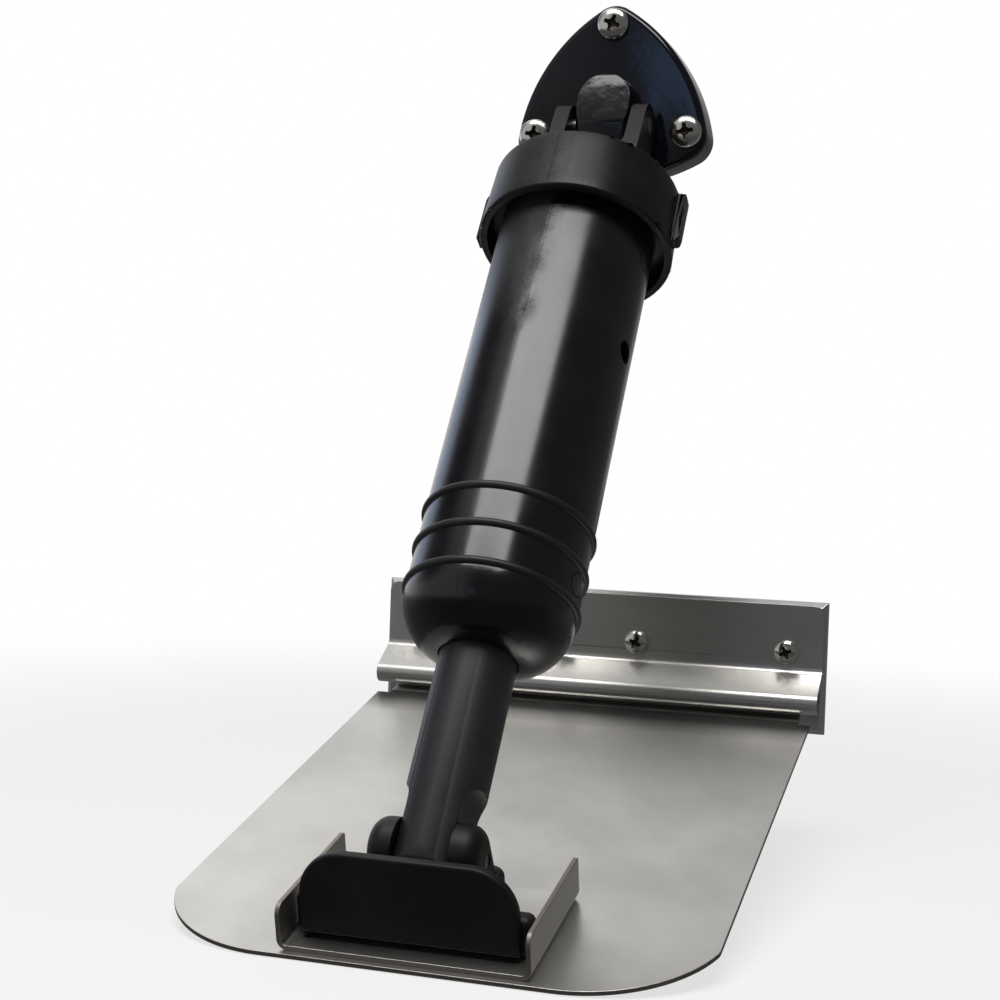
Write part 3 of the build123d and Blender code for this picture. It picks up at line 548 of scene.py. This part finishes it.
def moulding(
    name,
    colour,
    rough,
    grain,
    depth,
    stretch=(1, 1, 1),
    worn=0.06,
    patch=default_patch,
    scuffs=None,
    ior=1.50,
):
    """Black nylon with a moulded grain, its size and depth in millimetres, and wear in patches.

    scuffs is (depth in millimetres, low, high, dulled): low and high are distances below the upper pin.
    """
    finish = Finish(name, IOR=ior)
    patches = finish.noise(patch, detail=5, roughness=0.62)
    fine = finish.noise(grain * mm, detail=3, stretch=stretch, turn=along_actuator)
    wear = finish.ramp(patches, 0, 0.40, 0.68)
    paler = tuple(part * paler_times + paler_more for part in colour)
    tone = finish.tint((wear, 0), colour, paler)
    roughness = finish.ramp(patches, 0, 0.35, 0.70, rough, rough + worn)
    height = finish.bump(fine, 0, depth * mm, 0.5)
    if scuffs:
        scuff_depth, low, high, dulled = scuffs
        left, upper_end, beside = near_seam(finish, low, high)
        wrinkles = finish.noise(0.7 * mm, detail=4, stretch=(3, 3, 0.7), turn=along_actuator)
        areas = finish.noise(9 * mm, detail=2, stretch=(1, 1, 1.6), turn=along_actuator)
        spots = finish.ramp(areas, 0, 0.34, 0.62)
        inside = finish.sum("MULTIPLY", (beside, 0), (spots, 0))
        torn = finish.sum("MULTIPLY", (wrinkles, 0), (inside, 0))
        height = finish.bump(torn, 0, scuff_depth * mm, 0.9, after=height)
        handled = finish.sum("MULTIPLY", (left, 0), (upper_end, 0))
        masks = (
            (inside, scuff_rougher),
            (handled, dulled),
            (upper_end, dulled / 4),
            (left, handled_rougher),
        )
        for mask, more in masks:
            rougher = finish.sum("MULTIPLY", (mask, 0), more)
            roughness = finish.sum("ADD", (roughness, 0), (rougher, 0))
    finish.into(tone, 2, "Base Color")
    finish.into(roughness, 0, "Roughness")
    finish.into(height, "Normal", "Normal")


round_marks = (30, 30, 1)
collar_scuffs = (0.30, 36 * mm, 62 * mm, 0.03)
cylinder_scuffs = (0.30, 66 * mm, 118 * mm, 0.30)
mount_black = (0.0018, 0.0022, 0.0038)
collar_black = (0.0032, 0.0032, 0.0034)
cylinder_black = (0.0022, 0.0022, 0.0026)
head_black = (0.0020, 0.0020, 0.0022)
rod_black = (0.0090, 0.0095, 0.0115)
foot_black = (0.0022, 0.0022, 0.0024)
rubber_black = (0.005, 0.005, 0.005)
moulding("mount_gloss", mount_black, rough=0.07, grain=7.0, depth=0.10, worn=0.04, patch=30 * mm)
moulding(
    "collar_moulding",
    collar_black,
    rough=0.33,
    grain=0.55,
    depth=0.030,
    stretch=round_marks,
    scuffs=collar_scuffs,
    ior=1.36,
)
moulding(
    "cylinder_moulding",
    cylinder_black,
    rough=0.17,
    grain=0.50,
    depth=0.026,
    stretch=round_marks,
    scuffs=cylinder_scuffs,
    ior=1.56,
)
moulding(
    "cylinder_head", head_black, rough=0.42, grain=0.50, depth=0.020, stretch=round_marks, ior=1.36
)
moulding("rod_moulding", rod_black, rough=0.44, grain=0.30, depth=0.010)
moulding("foot_moulding", foot_black, rough=0.50, grain=0.35, depth=0.016, ior=1.42)
moulding("rubber", rubber_black, rough=0.42, grain=0.25, depth=0.012, worn=0.10)


# %% Acetal for the hidden bush and piston
def acetal(name):
    """Natural acetal: milky, slightly uneven and satin."""
    finish = Finish(name, IOR=1.48, Subsurface_Weight=0.15, Subsurface_Scale=2 * mm)
    clouds = finish.noise(6 * mm, detail=4)
    shade = finish.ramp(clouds, 0, 0.3, 0.7)
    tone = finish.tint((shade, 0), (0.70, 0.68, 0.62), (0.80, 0.79, 0.74))
    finish.into(tone, 2, "Base Color")
    roughness = finish.ramp(clouds, 0, 0.3, 0.7, 0.34, 0.46)
    finish.into(roughness, 0, "Roughness")
    marks = finish.noise(0.3 * mm, detail=2, stretch=round_marks, turn=along_actuator)
    finish.into(finish.bump(marks, 0, 0.01 * mm, 0.5), "Normal", "Normal")


acetal("bush_moulding")
print("finishes:", sorted(finishes))

# %% [markdown]
# ## Pieces from the part's own meshes
#
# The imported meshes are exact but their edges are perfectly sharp, and a sharp edge never catches the
# light. So a visible piece is a copy of its mesh: the loose triangles are merged, flat areas become one
# face, and a Bevel rounds what is sharper than a chosen angle by a fraction of a millimetre. Faces on
# the cut edges of sheet are found with rays: from a cut edge, a ray into the metal travels much further
# than the sheet is thick. The sheets are under 2 mm, so a ray that goes on past 3.2 mm began on an edge.

# %% What a piece takes from its node
body_of = {node: body for body, held in frame["record"]["behaviour"]["bodies"].items() for node in held}
slot_of = {part["node"]: part["material_slot"] for part in frame["record"]["subparts"]}


def finish_of(node):
    """The node's own finish where it has one, and else its slot's."""
    return finishes.get(node) or finishes[slot_of[node]]


def plain(work, name):
    """The object's mesh as its modifiers leave it, in a new object; the old one is removed."""
    depsgraph = bpy.context.evaluated_depsgraph_get()
    mesh = bpy.data.meshes.new_from_object(work.evaluated_get(depsgraph), depsgraph=depsgraph)
    mesh.name = name
    piece = bpy.data.objects.new(name, mesh)
    scene.collection.objects.link(piece)
    bpy.data.objects.remove(work)
    return piece


def settle(piece, node, replace=True):
    """The piece takes the node's finish and body and, if asked, its place."""
    piece.data.materials.clear()
    piece.data.materials.append(finish_of(node))
    if replace:
        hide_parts(node)
    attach(piece, body_of[node])
    return piece


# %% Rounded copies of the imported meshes
same_point = 1e-7
just_inside = 1e-6
flat_within = radians(0.2)
longest_way_through = 3.2 * mm


def merged(node):
    """A bmesh of the node's mesh, with its triangles joined and each flat area one face."""
    shape = bmesh.new()
    shape.from_mesh(nodes[node].data)
    bmesh.ops.remove_doubles(shape, verts=shape.verts, dist=same_point)
    bmesh.ops.dissolve_limit(shape, angle_limit=flat_within, verts=shape.verts, edges=shape.edges)
    return shape


def mark_cut_edges(shape):
    """Stores 1 in the face attribute cut_edge where a ray into the sheet goes far."""
    tree = BVHTree.FromBMesh(shape)
    layer = shape.faces.layers.float.new("cut_edge")
    count = 0
    for face in shape.faces:
        inwards = -face.normal
        start = face.calc_center_median() + inwards * just_inside
        distance = tree.ray_cast(start, inwards)[3]
        if distance is None or distance > longest_way_through:
            face[layer] = 1.0
            count += 1
    return count


def rounded(shape, name, width, angle=32):
    """An object of the shape with edges sharper than angle degrees rounded by width."""
    mesh = bpy.data.meshes.new(name)
    shape.to_mesh(mesh)
    shape.free()
    for attribute in [a for a in mesh.attributes if a.name == "custom_normal"]:
        mesh.attributes.remove(attribute)
    mesh.shade_smooth()
    work = bpy.data.objects.new(name + "_work", mesh)
    scene.collection.objects.link(work)
    bevel = work.modifiers.new("edges", "BEVEL")
    bevel.width = width
    bevel.segments = 2
    bevel.limit_method = "ANGLE"
    bevel.angle_limit = radians(angle)
    bevel.harden_normals = True
    bevel.use_clamp_overlap = False
    return plain(work, name)


# %% Sheet steel pieces
sheared_rounding = 0.22 * mm
for node in ("trim_plate", "hinge_strap", "foot_bracket"):
    shape = merged(node)
    cut_faces = mark_cut_edges(shape)
    faces = len(shape.faces)
    piece = settle(rounded(shape, node + "_look", sheared_rounding), node)
    print(node, faces, "faces,", cut_faces, "on cut edges,", len(piece.data.polygons), "after rounding")

# %% Backing plate and mouldings
edge_rounding_mm = {
    "hinge_backing_plate": 0.25,
    "transom_mount": 0.25,
    "cylinder_head": 0.25,
    "collar_nut": 0.40,
    "actuator_foot": 0.22,
    "actuator_rod": 0.20,
}
for node, width in edge_rounding_mm.items():
    piece = settle(rounded(merged(node), node + "_look", width * mm), node)
    print(node, len(piece.data.polygons), "faces")

# %% [markdown]
# ## Screws
#
# The hinge's and the mount's screws are alike but for size: a polished pan head, a cross recess with
# petals between the wings, a threaded shank and a point. One screw is turned as a grid of rows and
# columns, where the thread is a ridge whose height follows the phase of a helix, so the whole body is
# one closed skin. A Boolean then sinks the recess, built as a stack of star outlines that narrow with
# depth: each level is a height, as a share of the head's, and a size. Geometry Nodes puts a screw on
# every seat and turns each by a chance angle, because no fitter stops them all alike.

# %% Rings and the skin through them
straight_ahead = 1e-6


def star(span, wing, core, count=96):
    """Radii of a cross recess by angle: four wings, and a round core that shows between them."""
    radii = []
    for index in range(count):
        turn = index * tau / count
        off = (turn + pi / 4) % (pi / 2) - pi / 4
        reach = span if abs(off) < straight_ahead else min(span, wing / abs(sin(off)))
        radii.append(max(core, reach))
    return radii


def skin(rings, name):
    """A closed mesh from rings of points about the Y axis, first and last filled."""
    shape = bmesh.new()
    rows = [[shape.verts.new(point) for point in ring] for ring in rings]
    for lower, upper in zip(rows, rows[1:]):
        for index in range(len(lower)):
            after = (index + 1) % len(lower)
            shape.faces.new((lower[index], lower[after], upper[after], upper[index]))
    shape.faces.new(list(reversed(rows[0])))
    shape.faces.new(rows[-1])
    bmesh.ops.recalc_face_normals(shape, faces=shape.faces)
    mesh = bpy.data.meshes.new(name)
    shape.to_mesh(mesh)
    shape.free()
    return mesh


def ring(radii, y):
    """Points at these radii about the Y axis, evenly spread."""
    step = tau / len(radii)
    return [(r * sin(i * step), y, r * cos(i * step)) for i, r in enumerate(radii)]


# %% One screw
crown_rows = 14
crown_roundness = 0.86
rim_share = 0.3
skirt_share = 0.12
underside_share = 0.95
under_head = 0.02 * mm
rows_a_turn = 9
plain_part = 1.5 * mm
point_to_root = 2.2
bluntness = 0.06
ridge_half_width = 0.30
recess_reach = 0.55
wing_half_width = 0.13
core_radius = 0.28
sharp_from = radians(38)
recess_levels = ((1.25, 1.12), (0.97, 1.0), (0.72, 0.80), (0.45, 0.50), (0.36, 0.20))


def screw(name, head_radius, head_height, root, crest, length, pitch, columns=64):
    """A pan-head screw whose seat lies at y = 0, head towards -Y and point towards +Y."""
    rings = []
    for row in range(1, crown_rows + 1):
        turn = row / crown_rows * pi / 2
        radius = head_radius * sin(turn) ** crown_roundness
        rise = head_height * (rim_share + (1 - rim_share) * cos(turn) ** crown_roundness)
        rings.append(ring([radius] * columns, -rise))
    rings.append(ring([head_radius] * columns, -skirt_share * head_height))
    rings.append(ring([head_radius * underside_share] * columns, 0.0))
    rings.append(ring([root] * columns, under_head))
    point = point_to_root * root
    rows = int((length - plain_part) / pitch * rows_a_turn)
    for row in range(rows + 1):
        y = plain_part + (length - plain_part) * row / rows
        taper = min(1.0, max(bluntness, (length - y) / point))
        rise = min(1.0, row / rows_a_turn) * (crest - root)
        radii = []
        for column in range(columns):
            phase = (y / pitch + column / columns) % 1.0
            ridge = max(0.0, 1 - abs(phase - 0.5) / ridge_half_width)
            radii.append((root + rise * ridge) * taper)
        rings.append(ring(radii, y))
    body = bpy.data.objects.new(name, skin(rings, name))
    recess_rings = []
    for height, size in recess_levels:
        span = recess_reach * head_radius * size
        wing = wing_half_width * head_radius * size
        core = core_radius * head_radius * size
        recess_rings.append(ring(star(span, wing, core), -head_height * height))
    cutter = bpy.data.objects.new(name + "_recess", skin(recess_rings, name + "_recess"))
    for thing, inside in ((body, 0.0), (cutter, 1.0)):
        scene.collection.objects.link(thing)
        layer = thing.data.attributes.new("recess", "FLOAT", "FACE")
        layer.data.foreach_set("value", [inside] * len(thing.data.polygons))
    sink = body.modifiers.new("recess", "BOOLEAN")
    sink.operation = "DIFFERENCE"
    sink.object = cutter
    sink.solver = "EXACT"
    made = plain(body, name)
    bpy.data.objects.remove(cutter)
    marked = sum(mark.value > 0.5 for mark in made.data.attributes["recess"].data)
    made.data.shade_smooth()
    made.data.set_sharp_from_angle(angle=sharp_from)
    print(name, len(made.data.polygons), "faces,", marked, "in the recess")
    return made


# %% Screws on their seats
def group_socket(tree, name, kind):
    """A named input of the group; its identifier is what the modifier's value is set by."""
    return tree.interface.new_socket(name, in_out="INPUT", socket_type="NodeSocket" + kind).identifier


most_turn = 0.6
screw_tree = bpy.data.node_groups.new("screws_on_seats", "GeometryNodeTree")
screw_inputs = {
    "seats": group_socket(screw_tree, "Seats", "Geometry"),
    "screw": group_socket(screw_tree, "Screw", "Object"),
    "seed": group_socket(screw_tree, "Seed", "Int"),
    "material": group_socket(screw_tree, "Material", "Material"),
}
screw_tree.interface.new_socket("Screws", in_out="OUTPUT", socket_type="NodeSocketGeometry")
given = screw_tree.nodes.new("NodeGroupInput")
taken = screw_tree.nodes.new("NodeGroupOutput")
to_points = screw_tree.nodes.new("GeometryNodeMeshToPoints")
fetch = screw_tree.nodes.new("GeometryNodeObjectInfo")
spin = screw_tree.nodes.new("FunctionNodeRandomValue")
turned = screw_tree.nodes.new("ShaderNodeCombineXYZ")
place_screws = screw_tree.nodes.new("GeometryNodeInstanceOnPoints")
realize = screw_tree.nodes.new("GeometryNodeRealizeInstances")
finish_screws = screw_tree.nodes.new("GeometryNodeSetMaterial")
spin.data_type = "FLOAT"
spin.inputs[2].default_value = -most_turn
spin.inputs[3].default_value = most_turn
for source, out, target, into in (
    (given, "Seats", to_points, "Mesh"),
    (given, "Screw", fetch, "Object"),
    (given, "Seed", spin, "Seed"),
    (spin, 1, turned, "Y"),
    (to_points, "Points", place_screws, "Points"),
    (fetch, "Geometry", place_screws, "Instance"),
    (turned, 0, place_screws, "Rotation"),
    (place_screws, 0, realize, 0),
    (realize, 0, finish_screws, 0),
    (given, "Material", finish_screws, "Material"),
    (finish_screws, 0, taken, 0),
):
    screw_tree.links.new(source.outputs[out], target.inputs[into])


def screws(node, pins, seat, model, seed):
    """Screws of one model on the seats in line with the record's pins, in place of the node."""
    seats = bpy.data.meshes.new(node + "_seats")
    seats.from_pydata([(pin["pos_m"][0], seat, pin["pos_m"][2]) for pin in pins], [], [])
    work = bpy.data.objects.new(node + "_work", seats)
    scene.collection.objects.link(work)
    modifier = work.modifiers.new("screws", "NODES")
    modifier.node_group = screw_tree
    modifier[screw_inputs["screw"]] = model
    modifier[screw_inputs["seed"]] = seed
    modifier[screw_inputs["material"]] = finishes["screw_steel"]
    piece = plain(work, node + "_look")
    bpy.data.objects.remove(model)
    return settle(piece, node)


# %% The hinge's and the mount's screws
record_pins = {"hinge_screw": [], "mount_screw": []}
for mount in frame["record"]["mounts"]:
    kind = mount["name"].rsplit("_", 1)[0]
    if kind in record_pins:
        record_pins[kind].append(mount)
hinge_head_height = 3.2 * mm
mount_head_height = 3.9 * mm
hinge_low, hinge_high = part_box("hinge_screws")
mount_low, mount_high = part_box("mount_screws")
hinge_seat = hinge_low.y + hinge_head_height
mount_seat = mount_low.y + mount_head_height
small = screw(
    "number_ten",
    head_radius=4.75 * mm,
    head_height=hinge_head_height,
    root=1.75 * mm,
    crest=2.3 * mm,
    length=hinge_high.y - hinge_seat,
    pitch=1.8 * mm,
)
screws("hinge_screws", record_pins["hinge_screw"], hinge_seat, small, seed=4)
large = screw(
    "quarter_inch",
    head_radius=6.35 * mm,
    head_height=mount_head_height,
    root=2.4 * mm,
    crest=3.05 * mm,
    length=mount_high.y - mount_seat,
    pitch=2.1 * mm,
)
screws("mount_screws", record_pins["mount_screw"], mount_seat, large, seed=11)

# %% [markdown]
# ## Mould seams
#
# The collar and the cylinder are each moulded in two halves that meet at the front, which leaves a thin
# ridge there. On the cylinder it runs from under the collar over the dome to the rod. The path is found
# by shooting rays from outside towards the axis and taking where they hit the surface, so it fits the
# dome without knowing its form. On the cylinder the seam drifts from 3 to 5 degrees off the front over
# 60 mm. Geometry Nodes turns the path into a thin, slightly wandering tube.

# %% A tube along a path
waves_a_metre = 260.0
noise_middle = 0.5
tube_tree = bpy.data.node_groups.new("tube_along_path", "GeometryNodeTree")
tube_inputs = {
    "path": group_socket(tube_tree, "Path", "Geometry"),
    "radius": group_socket(tube_tree, "Radius", "Float"),
    "wander": group_socket(tube_tree, "Wander", "Float"),
    "sides": group_socket(tube_tree, "Sides", "Int"),
    "material": group_socket(tube_tree, "Material", "Material"),
}
tube_tree.interface.new_socket("Tube", in_out="OUTPUT", socket_type="NodeSocketGeometry")
given = tube_tree.nodes.new("NodeGroupInput")
taken = tube_tree.nodes.new("NodeGroupOutput")
to_curve = tube_tree.nodes.new("GeometryNodeMeshToCurve")
wave = tube_tree.nodes.new("ShaderNodeTexNoise")
centred = tube_tree.nodes.new("ShaderNodeMath")
scaled = tube_tree.nodes.new("ShaderNodeMath")
sideways = tube_tree.nodes.new("ShaderNodeCombineXYZ")
shift = tube_tree.nodes.new("GeometryNodeSetPosition")
outline = tube_tree.nodes.new("GeometryNodeCurvePrimitiveCircle")
to_mesh = tube_tree.nodes.new("GeometryNodeCurveToMesh")
finish_tube = tube_tree.nodes.new("GeometryNodeSetMaterial")
realize_tube = tube_tree.nodes.new("GeometryNodeRealizeInstances")
wave.inputs["Scale"].default_value = waves_a_metre
centred.operation = "SUBTRACT"
centred.inputs[1].default_value = noise_middle
scaled.operation = "MULTIPLY"
to_mesh.inputs["Fill Caps"].default_value = True
for source, out, target, into in (
    (given, "Path", to_curve, "Mesh"),
    (wave, 0, centred, 0),
    (centred, 0, scaled, 0),
    (given, "Wander", scaled, 1),
    (scaled, 0, sideways, "X"),
    (to_curve, 0, shift, "Geometry"),
    (sideways, 0, shift, "Offset"),
    (given, "Radius", outline, "Radius"),
    (given, "Sides", outline, "Resolution"),
    (shift, 0, to_mesh, "Curve"),
    (outline, 0, to_mesh, "Profile Curve"),
    (to_mesh, 0, realize_tube, 0),
    (realize_tube, 0, finish_tube, 0),
    (given, "Material", finish_tube, "Material"),
    (finish_tube, 0, taken, 0),
):
    tube_tree.links.new(source.outputs[out], target.inputs[into])


def tube(node, name, points, radius, wander, sides):
    """A tube through the points, in the node's finish."""
    path = bpy.data.meshes.new(name + "_path")
    path.from_pydata(points, [(i, i + 1) for i in range(len(points) - 1)], [])
    work = bpy.data.objects.new(name + "_work", path)
    scene.collection.objects.link(work)
    modifier = work.modifiers.new("tube", "NODES")
    modifier.node_group = tube_tree
    modifier[tube_inputs["radius"]] = radius
    modifier[tube_inputs["wander"]] = wander
    modifier[tube_inputs["sides"]] = sides
    modifier[tube_inputs["material"]] = finish_of(node)
    piece = plain(work, name)
    piece.data.shade_smooth()
    print(name, len(points), "points,", len(piece.data.polygons), "faces")
    return piece


# %% Seams
outside_all = 60 * mm
seam_sides = 6
seam_start_mm = 64
seam_drift_mm = 60
first_angle = 3.0
drift_angle = 2.0


def seam(node, name, places, radius, wander):
    """A ridge on the node's surface. places are (distance below the upper pin, angle in degrees)."""
    shape = bmesh.new()
    shape.from_mesh(nodes[node].data)
    tree = BVHTree.FromBMesh(shape)
    shape.free()
    points = []
    for distance, angle in places:
        axis_point = upper_pin - actuator_up * distance
        outwards = Vector((-sin(radians(angle)), 0, 0)) - actuator_rear * cos(radians(angle))
        hit = tree.ray_cast(axis_point + outwards * outside_all, -outwards)[0]
        if hit is not None:
            points.append(hit)
    return settle(tube(node, name, points, radius, wander, seam_sides), node, replace=False)


def evenly(low, high, count):
    """count numbers from low to high."""
    return [low + (high - low) * index / (count - 1) for index in range(count)]


body_seam = []
for below in evenly(64.5, 237.6, 170):
    drifted = min(1, (below - seam_start_mm) / seam_drift_mm)
    body_seam.append((below * mm, first_angle + drift_angle * drifted))
collar_seam = [(below * mm, first_angle + drift_angle) for below in evenly(37.2, 63.0, 60)]
seam("cylinder_body", "cylinder_seam", body_seam, radius=0.11 * mm, wander=0.10 * mm)
seam("collar_nut", "collar_seam", collar_seam, radius=0.13 * mm, wander=0.35 * mm)

# %% [markdown]
# ## The return spring
#
# The spring sits between the plug of the cylinder's head and the piston, and is pressed together when
# the tab lifts. A real one has its end turns wound closed, so that it stands flat on its seats. The
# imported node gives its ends, its radius and its wire; the same tree that made the seams makes the wire.

# %% Return spring
spring_turns = 9.5
closed_turns = 1.0
spring_steps = 44
spring_sides = 10
closed_pitch_radii = 2.1

from_pin = [vertex.co - upper_pin for vertex in nodes["return_spring"].data.vertices]
depths = [-place.dot(actuator_up) for place in from_pin]
reaches = [(place + actuator_up * depth).length for place, depth in zip(from_pin, depths)]
wire_radius = (max(reaches) - min(reaches)) / 2
coil_radius = (max(reaches) + min(reaches)) / 2
spring_top = min(depths) + wire_radius
spring_rise = max(depths) - wire_radius - spring_top
closed_pitch = closed_pitch_radii * wire_radius
open_pitch = (spring_rise - 2 * closed_turns * closed_pitch) / (spring_turns - 2 * closed_turns)


def spring_depth(turn):
    """How far below its top the wire's middle lies after so many turns."""
    first = min(turn, closed_turns) * closed_pitch
    middle = max(0.0, min(turn, spring_turns - closed_turns) - closed_turns) * open_pitch
    last = max(0.0, turn - spring_turns + closed_turns) * closed_pitch
    return first + middle + last


spring_points = []
for step in range(int(spring_turns * spring_steps) + 1):
    turn = step / spring_steps
    across = Vector((cos(turn * tau), 0, 0)) + actuator_rear * sin(turn * tau)
    below = actuator_up * (spring_top + spring_depth(turn))
    spring_points.append(upper_pin + across * coil_radius - below)
spring = tube("return_spring", "return_spring_look", spring_points, wire_radius, 0.0, spring_sides)
settle(spring, "return_spring")
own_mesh(spring)

# %% [markdown]
# ## The rest of the part
#
# The nodes that stay as packed only take their finishes: the cylinder's body, the rubber rings, the
# pins, the hinge's rod, the foot's screws, and what lies hidden inside.

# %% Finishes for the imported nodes
for node in slot_of:
    for slot in nodes[node].material_slots:
        slot.material = finish_of(node)
print("finished", len(slot_of), "nodes")
